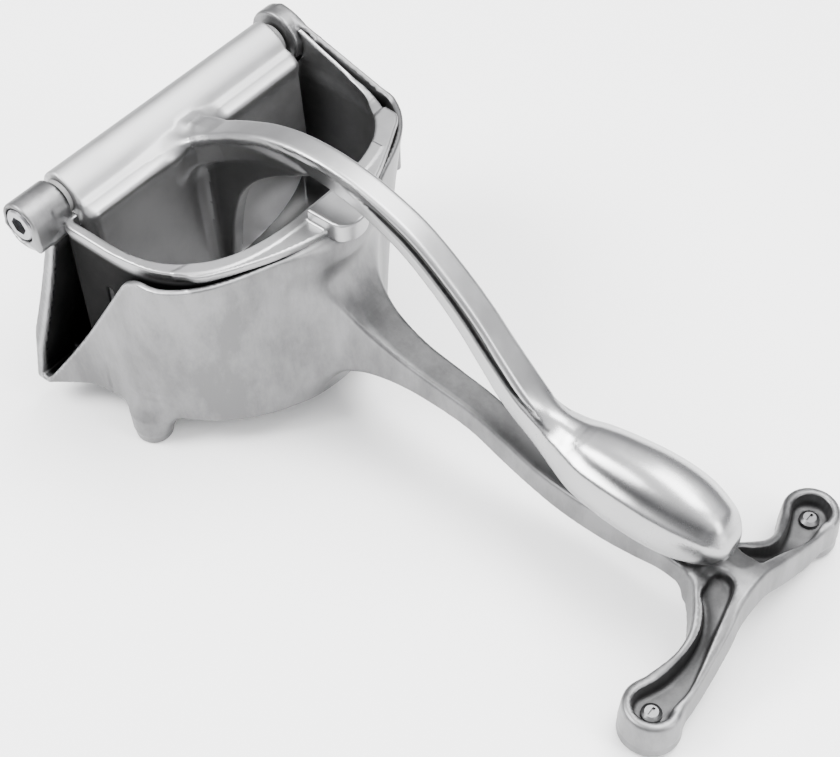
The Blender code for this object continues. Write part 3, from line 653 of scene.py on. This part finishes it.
GROOVE_AT = ([36.0, 60.0, 80.0, 110.0, 124.0, 134.0], [0.8, 2.3, 3.3, 3.4, 3.0, 2.2])
GROOVE_HALF = ([32.0, 46.0, 66.0, 110.0, 124.0, 134.0], [0.0, 0.4, 1.5, 1.6, 1.0, 0.0])
GROOVE_DEEP = ([32.0, 58.0, 76.0, 124.0, 134.0], [0.0, 0.9, 2.1, 2.1, 0.0])
DOME_INSET = ([112.0, 126.0, 138.0, 150.0, 170.0, 190.0], [0.3, 1.0, 1.9, 1.7, 1.2, 0.6])
CREASE_AT = ([112.0, 126.0, 138.0, 150.0, 170.0, 186.0, 194.0], [0.4, 0.5, 0.6, 0.52, 0.48, 0.5, 0.5])


def arm_frame(x, z):
    """Place along the arm, height over its centre line, and its half width and half height."""
    place, up = SWEEP.read(x, z)
    key = np.arange(len(ARM))
    half = np.interp(place, key, ARM[:, 2])
    tall = np.interp(place, key, ARM[:, 3])
    along = np.interp(place, key, ARM[:, 0])
    return along, up, half, tall


def rounded(side, up, half, tall, power):
    """Superellipse section of a swept piece."""
    grow = ((side / half) ** power + (np.abs(up) / tall) ** power) ** (1.0 / power)
    return (grow - 1.0) * np.minimum(half, tall)


def arm_field(x, y, z):
    """Capped arm with a groove along each side, running out into the domed grip."""
    along, up, half, tall = arm_frame(x, z)
    side = np.abs(y)
    # straight part: rounded cap that flares into the barrel, thin web under it, side groove
    flare = np.interp(along, [1.0, 5.0, 10.0, 16.0, 22.0], [6.0, 4.4, 2.0, 0.6, 0.0])
    flare = flare * np.where(y < 0.0, 1.0, 0.2)
    bar = both(side - half - flare, np.abs(up) - tall, 1.7)
    bar = both(bar, z - 3.2 - 0.7 * (x - 2.0), 2.5)
    waist = np.interp(along, [2.0, 16.0, 40.0, 52.0, 76.0, 90.0], [9.0, 3.0, 2.0, 2.6, 4.4, 6.0])
    hollow = both(waist - side, up - tall + 3.2, 0.8)
    bar = cut(bar, hollow, 0.8)
    middle = tall - np.interp(along, *GROOVE_AT)
    groove = both(np.abs(up - middle) - np.interp(along, *GROOVE_HALF),
                  half - np.interp(along, *GROOVE_DEEP) - side, 0.6)
    bar = cut(bar, groove, 0.7)
    # grip: a dome set back a little on a fuller body
    skirt = rounded(side, up, half, tall, 2.15)
    skirt = both(skirt, up - tall * np.interp(along, *CREASE_AT), 0.7)
    narrow = half - np.interp(along, *DOME_INSET)
    dome = rounded(side, up, narrow, tall, 2.3)
    knob = join(dome, skirt, 2.4)
    grip = smoothstep(118.0, 136.0, along)
    body = bar * (1.0 - grip) + knob * grip
    return both(body, x - GRIP_END_X, 5.0)


def plate_plan(y, z):
    """Outline of the press plate seen from the tail: straight sides, rounded below."""
    low = np.interp(np.abs(y), PLATE_Y, PLATE_Z)
    return np.maximum(low - z, np.abs(y) - 42.6)


PLATE_ANGLES = np.radians(np.linspace(0.0, 90.0, 40))
PLATE_Y = PLATE_HALF * np.abs(np.sin(PLATE_ANGLES)) ** 0.72
PLATE_Z = -20.0 - 29.8 * np.abs(np.cos(PLATE_ANGLES)) ** 0.68


SHOULDER_OUTLINE = [(-12.0, -1.0), (-5.0, 7.2), (2.0, 3.6), (3.6, 0.4), (1.0, -6.0), (-4.0, -6.0)]


def lever_field(x, y, z):
    """Barrel with its flat, shoulder, press plate, web and arm."""
    barrel = hinge_circle(x, z, BARREL_RADIUS)
    flat = (x - HINGE_X) * 0.49 + (z - HINGE_Z) * 0.87 - 6.7
    barrel = both(barrel, flat, 1.5)
    barrel = both(barrel, slab(y, -BARREL_HALF, BARREL_HALF), 0.8)
    face = x - PLATE_LEAN * (HINGE_Z - z)
    plate = both(slab(face, 0.3, 5.2), plate_plan(y, z) * 0.8, 1.2)
    plate = both(plate, z - 2.0, 1.0)
    # the shoulder over the plate swells into the root of the arm
    flare = 1.6 * smoothstep(-27.0, -8.0, y) * smoothstep(12.0, 4.0, y)
    shoulder = polygon(x - flare, z, SHOULDER_OUTLINE)
    shoulder = both(shoulder, np.abs(y) - 43.3, 0.8)
    solid = join(join(barrel, shoulder, 0.8), plate, 3.0)
    arm = np.maximum(arm_field(x, y, z), -2.0 - x)
    web = both(polygon(x, z, WEB), np.abs(y) - WEB_HALF, 0.7)
    solid = join(solid, web, 4.0)
    root = smoothstep(16.0, 6.0, x)
    solid = join(solid, arm, 2.4 + 4.0 * root)
    for side in (-1.0, 1.0):
        drill = np.maximum(hinge_circle(x, z, 3.05), 32.0 - side * y)
        solid = np.maximum(solid, -drill)
    return solid


WEB = closed_spline([
    (1.0, 5.0), (2.6, -20.0), (4.6, -44.0), (10.0, -45.5), (14.6, -41.0), (16.0, -33.0),
    (17.6, -23.0), (21.0, -12.0), (27.0, -3.0), (36.0, 4.5), (48.0, 12.5), (30.0, 12.0), (14.0, 7.0),
], 4)


# ---------------------------------------------------------------- tone of the cast skin, with painted shade and highlights


def pot_tone(points, normals):
    """Painted shade inside the pot, on the handle top under the lever's arm and in the tail pockets, most on
    their walls; a painted highlight along the mouth's edge; satin outside.
    """
    x, y, z = points.T
    side = pot_side(x, y, z)
    # painted shade: the inside of the pot is darkened
    inside = smoothstep(-1.7, -2.1, side) * smoothstep(-1.0, -12.0, z) * (z > -66.0)
    # painted highlight: a bright line along the mouth's cut edge on the left
    edge = smoothstep(0.9, 0.2, np.abs(mouth_region(x, z))) * smoothstep(-2.3, -1.8, side) * (y < -45.0)
    # painted shade: upward faces of the handle darkened where the lever's arm lies over them, less on the
    # left; also a little rougher
    handle_top_shade = smoothstep(52.0, 62.0, x) * smoothstep(200.0, 184.0, x) * smoothstep(0.55, 0.85, normals[:, 2])
    handle_top_shade *= smoothstep(-70.0, -60.0, z) * (1.0 - 0.6 * smoothstep(-3.4, -4.6, y))
    # painted shade: the tail pockets darkened, their walls most; also a little rougher
    pocket = smoothstep(0.3, -0.6, polygon(x, -np.abs(y), POCKET)) * (x > 180.0)
    pocket_wall_shade = pocket * smoothstep(0.9, 0.5, normals[:, 2])
    tone = (1.0 - 0.82 * inside) * (1.0 - 0.6 * handle_top_shade) * (1.0 - 0.5 * pocket) * (1.0 - 0.3 * pocket_wall_shade)
    return tone * (1.0 + 1.2 * edge), 1.0 + 0.25 * handle_top_shade + 0.3 * pocket


def basket_tone(points, normals):
    """Painted shade: dark outside below the lip; inside a little darker than the lip, most on the plain
    wall.
    """
    x, y, z = points.T
    side = basket_side(x, y, z)
    # painted shade on the basket's outer wall below the lip, seen through the mouth
    outside = smoothstep(-0.9, -0.4, side) * smoothstep(-1.6, -4.5, z)
    # painted shade inside the basket, deepest on the plain right wall
    inside = smoothstep(-1.2, -2.2, side) * smoothstep(-0.5, -3.0, z)
    wall = inside * smoothstep(38.0, 44.0, y)
    tone = (1.0 - 0.98 * outside) * (1.0 - 0.1 * inside) * (1.0 - 0.4 * wall)
    return tone, 1.0 + 1.3 * outside + 0.2 * inside


def lever_tone(points, normals):
    """Duller plate, web and barrel; polished grip with a darker band low on its dome; painted light on the
    plate face with a painted reflection low on its right; painted shade in the side groove and on the web
    under the cap.
    """
    x, y, z = points.T
    along, up, half, tall = arm_frame(x, z)
    # painted light: the plate face is lightened; the plate is also made rougher
    plate = smoothstep(1.0, -6.0, z) * (x < 12.0)
    # painted reflection: a bright patch low on the plate's right
    painted_plate_reflection = smoothstep(10.0, 22.0, y) * smoothstep(-32.0, -40.0, z) * plate
    # painted shade in the side groove under the cap
    gap = np.abs(up - tall + np.interp(along, *GROOVE_AT)) - np.interp(along, *GROOVE_HALF)
    groove = smoothstep(0.5, 0.0, gap) * smoothstep(half - 0.5, half - 1.1, np.abs(y)) * (along > 36.0)
    groove *= (along < 134.0)
    # painted shade on the web under the arm's cap
    web = smoothstep(3.4, 2.9, np.abs(y)) * (x > 9.0) * (x < 62.0) * smoothstep(tall - 2.6, tall - 3.4, up)
    # a darker band low on the left of the grip's dome, just above the crease
    lift = up / tall - np.interp(along, *CREASE_AT)
    dome_dark_band = smoothstep(0.02, 0.12, lift) * smoothstep(0.5, 0.3, lift) * smoothstep(146.0, 162.0, along)
    dome_dark_band *= smoothstep(0.0, -3.0, y) * smoothstep(192.0, 184.0, along)
    tone = (1.0 + 0.2 * plate) * (1.0 + 0.9 * painted_plate_reflection) * (1.0 - 0.7 * groove) * (1.0 - 0.5 * web)
    tone *= 1.0 - 0.6 * dome_dark_band
    straight = smoothstep(128.0, 112.0, along)
    barrel = smoothstep(6.0, 3.0, x)
    return tone, 1.0 + 0.4 * straight + 0.5 * barrel + 0.2 * plate


# ---------------------------------------------------------------- materials


def node(tree, kind, place, **values):
    item = tree.nodes.new(kind)
    item.location = place
    for key, value in values.items():
        if key in item.inputs:
            item.inputs[key].default_value = value
        else:
            setattr(item, key, value)
    return item


def cast_metal(name, base, rough, mottle, grain_scale, bump_strength, streak=0.0, fine=0.02):
    """Aluminium with soft mottling, fine grain and a little polishing streak."""
    mat = bpy.data.materials.new(name)
    mat.use_nodes = True
    tree = mat.node_tree
    shader = tree.nodes["Principled BSDF"]
    shader.inputs["Metallic"].default_value = 1.0
    place = node(tree, "ShaderNodeTexCoord", (-1200, 0))
    stretch = node(tree, "ShaderNodeMapping", (-1000, 200))
    stretch.inputs["Scale"].default_value = (1.0, 1.0, 1.0 - 0.75 * streak)
    tree.links.new(place.outputs["Object"], stretch.inputs["Vector"])
    cloud = node(tree, "ShaderNodeTexNoise", (-800, 200), Scale=52.0, Detail=8.0, Roughness=0.7)
    tree.links.new(stretch.outputs["Vector"], cloud.inputs["Vector"])
    tint = node(tree, "ShaderNodeValToRGB", (-600, 300))
    tint.color_ramp.elements[0].position = 0.40
    tint.color_ramp.elements[1].position = 0.60
    dark = tuple(c * (1.0 - mottle) for c in base)
    tint.color_ramp.elements[0].color = (dark[0], dark[1], dark[2], 1.0)
    tint.color_ramp.elements[1].color = (base[0], base[1], base[2], 1.0)
    tree.links.new(cloud.outputs["Fac"], tint.inputs["Fac"])
    # the tone attribute scales the base colour: it carries painted shade and painted highlights
    tone = node(tree, "ShaderNodeAttribute", (-600, 500), attribute_name="tone")
    shaded = node(tree, "ShaderNodeVectorMath", (-350, 350), operation="SCALE")
    tree.links.new(tint.outputs["Color"], shaded.inputs[0])
    tree.links.new(tone.outputs["Fac"], shaded.inputs["Scale"])
    tree.links.new(shaded.outputs["Vector"], shader.inputs["Base Color"])
    spread = node(tree, "ShaderNodeMapRange", (-600, 0))
    spread.inputs["To Min"].default_value = rough - 0.05
    spread.inputs["To Max"].default_value = rough + 0.08
    tree.links.new(cloud.outputs["Fac"], spread.inputs["Value"])
    dull = node(tree, "ShaderNodeAttribute", (-600, -150), attribute_name="dull")
    rougher = node(tree, "ShaderNodeMath", (-350, 0), operation="MULTIPLY")
    tree.links.new(spread.outputs["Result"], rougher.inputs[0])
    tree.links.new(dull.outputs["Fac"], rougher.inputs[1])
    tree.links.new(rougher.outputs["Value"], shader.inputs["Roughness"])
    grain = node(tree, "ShaderNodeTexNoise", (-800, -300), Scale=grain_scale, Detail=4.0, Roughness=0.6)
    tree.links.new(stretch.outputs["Vector"], grain.inputs["Vector"])
    bump = node(tree, "ShaderNodeBump", (-300, -300), Strength=bump_strength, Distance=fine * MM)
    tree.links.new(grain.outputs["Fac"], bump.inputs["Height"])
    tree.links.new(bump.outputs["Normal"], shader.inputs["Normal"])
    return mat


def plain_grained(name, base, rough, metallic, scale, strength):
    """One colour with fine grain, for screws, washers and pads."""
    mat = bpy.data.materials.new(name)
    mat.use_nodes = True
    tree = mat.node_tree
    shader = tree.nodes["Principled BSDF"]
    shader.inputs["Metallic"].default_value = metallic
    shader.inputs["Roughness"].default_value = rough
    place = node(tree, "ShaderNodeTexCoord", (-900, 0))
    grain = node(tree, "ShaderNodeTexNoise", (-700, 0), Scale=scale, Detail=5.0)
    tree.links.new(place.outputs["Object"], grain.inputs["Vector"])
    tint = node(tree, "ShaderNodeValToRGB", (-450, 150))
    tint.color_ramp.elements[0].color = (base[0] * 0.8, base[1] * 0.8, base[2] * 0.8, 1.0)
    tint.color_ramp.elements[1].color = (base[0], base[1], base[2], 1.0)
    tree.links.new(grain.outputs["Fac"], tint.inputs["Fac"])
    tree.links.new(tint.outputs["Color"], shader.inputs["Base Color"])
    bump = node(tree, "ShaderNodeBump", (-300, -250), Strength=strength, Distance=0.02 * MM)
    tree.links.new(grain.outputs["Fac"], bump.inputs["Height"])
    tree.links.new(bump.outputs["Normal"], shader.inputs["Normal"])
    return mat


# ---------------------------------------------------------------- camera, light and floor


def add_camera():
    data = bpy.data.cameras.new("camera")
    camera = bpy.data.objects.new("camera", data)
    bpy.context.scene.collection.objects.link(camera)
    right = Vector((0.7787, 0.6273, -0.0105))
    up = Vector((-0.4663, 0.5899, 0.6592))
    back = Vector((0.4197, -0.5084, 0.7519))
    place = (np.array([301.5, -260.7, 337.6]) + SHIFT) * MM
    camera.matrix_world = Matrix((
        (right.x, up.x, back.x, place[0]),
        (right.y, up.y, back.y, place[1]),
        (right.z, up.z, back.z, place[2]),
        (0.0, 0.0, 0.0, 1.0),
    ))
    data.sensor_fit = "HORIZONTAL"
    data.sensor_width = 36.0
    data.lens = 75.02
    data.clip_start = 0.01
    data.clip_end = 20.0
    bpy.context.scene.camera = camera


def area_light(name, place, target, width, height, power):
    data = bpy.data.lights.new(name, "AREA")
    data.shape = "RECTANGLE"
    data.size = width
    data.size_y = height
    data.energy = power
    light = bpy.data.objects.new(name, data)
    bpy.context.scene.collection.objects.link(light)
    light.location = place
    aim = Vector(target) - Vector(place)
    light.rotation_euler = aim.to_track_quat("-Z", "Y").to_euler()


def add_lights():
    area_light("key_light", (-0.55, -0.55, 0.85), (0.0, 0.0, 0.05), 0.5, 0.5, 24.0)
    area_light("top_light", (0.15, 0.35, 1.1), (0.0, 0.0, 0.05), 0.9, 0.5, 26.0)
    area_light("right_light", (0.95, 0.1, 0.5), (0.0, 0.0, 0.03), 0.3, 0.9, 10.0)
    world = bpy.data.worlds.new("studio")
    bpy.context.scene.world = world
    world.use_nodes = True
    tree = world.node_tree
    back = tree.nodes["Background"]
    place = tree.nodes.new("ShaderNodeTexCoord")
    split = tree.nodes.new("ShaderNodeSeparateXYZ")
    tree.links.new(place.outputs["Generated"], split.inputs["Vector"])
    ramp = tree.nodes.new("ShaderNodeValToRGB")
    ramp.color_ramp.elements[0].position = 0.0
    ramp.color_ramp.elements[0].color = (0.16, 0.16, 0.165, 1.0)
    ramp.color_ramp.elements[1].position = 1.0
    ramp.color_ramp.elements[1].color = (1.0, 1.0, 1.0, 1.0)
    middle = ramp.color_ramp.elements.new(0.45)
    middle.color = (0.30, 0.30, 0.31, 1.0)
    high = ramp.color_ramp.elements.new(0.72)
    high.color = (0.86, 0.86, 0.87, 1.0)
    tree.links.new(split.outputs["Z"], ramp.inputs["Fac"])
    tree.links.new(ramp.outputs["Color"], back.inputs["Color"])
    back.inputs["Strength"].default_value = 2.7


def add_floor():
    size = 3.0
    corners = [(-size, -size, 0), (size, -size, 0), (size, size, 0), (-size, size, 0)]
    mesh = bpy.data.meshes.new("floor")
    mesh.from_pydata(corners, [], [(0, 1, 2, 3)])
    floor = bpy.data.objects.new("floor", mesh)
    floor.location.z = -0.0002
    bpy.context.scene.collection.objects.link(floor)
    mat = bpy.data.materials.new("floor_paint")
    mat.use_nodes = True
    shader = mat.node_tree.nodes["Principled BSDF"]
    shader.inputs["Base Color"].default_value = (0.93, 0.93, 0.93, 1.0)
    shader.inputs["Roughness"].default_value = 0.7
    mesh.materials.append(mat)


# ---------------------------------------------------------------- build

add_camera()
add_lights()
add_floor()

STEP = 0.8
FINE = 0.62

pot_metal = cast_metal("pot_metal", (0.205, 0.205, 0.2075), 0.40, 0.37, 900.0, 0.4, streak=0.8, fine=0.05)
basket_metal = cast_metal("basket_metal", (0.34, 0.34, 0.3435), 0.34, 0.14, 900.0, 0.2, fine=0.03)
lever_metal = cast_metal("lever_metal", (0.37, 0.37, 0.3735), 0.25, 0.08, 700.0, 0.12, fine=0.02)
steel = plain_grained("screw_steel", (0.30, 0.30, 0.31), 0.32, 1.0, 900.0, 0.2)
bright_steel = plain_grained("foot_steel", (0.14, 0.14, 0.143), 0.35, 1.0, 900.0, 0.2)
nylon = plain_grained("nylon", (0.16, 0.16, 0.16), 0.5, 0.0, 700.0, 0.2)
rubber = plain_grained("rubber", (0.035, 0.035, 0.035), 0.8, 0.0, 700.0, 0.5)

pot = mesh_field("cast_pot", pot_field, (-22.0, -66.0, -78.0), (210.0, 58.0, 16.0), STEP, pot_tone)
pot.data.materials.append(pot_metal)
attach(pot, "body")
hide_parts("pot_body")

basket = mesh_field("cast_basket", basket_field, (-8.0, -56.0, -60.0), (70.0, 54.0, 10.0), FINE, basket_tone)
basket.data.materials.append(basket_metal)
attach(basket, "body")
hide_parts("strainer_basket")

lever = mesh_field("cast_lever", lever_field, (-18.0, -46.0, -56.0), (198.0, 46.0, 25.0), FINE, lever_tone)
lever.data.materials.append(lever_metal)
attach(lever, "lever")
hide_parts("press_lever")

FINISH = {
    "hinge_screw_left": steel,
    "hinge_screw_right": steel,
    "hinge_washer_left": nylon,
    "hinge_washer_right": nylon,
    "tail_foot_pad_left": rubber,
    "tail_foot_pad_right": rubber,
    "tail_foot_screw_left": bright_steel,
    "tail_foot_screw_right": bright_steel,
}
for name, mat in FINISH.items():
    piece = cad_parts[name]
    for i in range(len(piece.material_slots)):
        piece.material_slots[i].material = mat
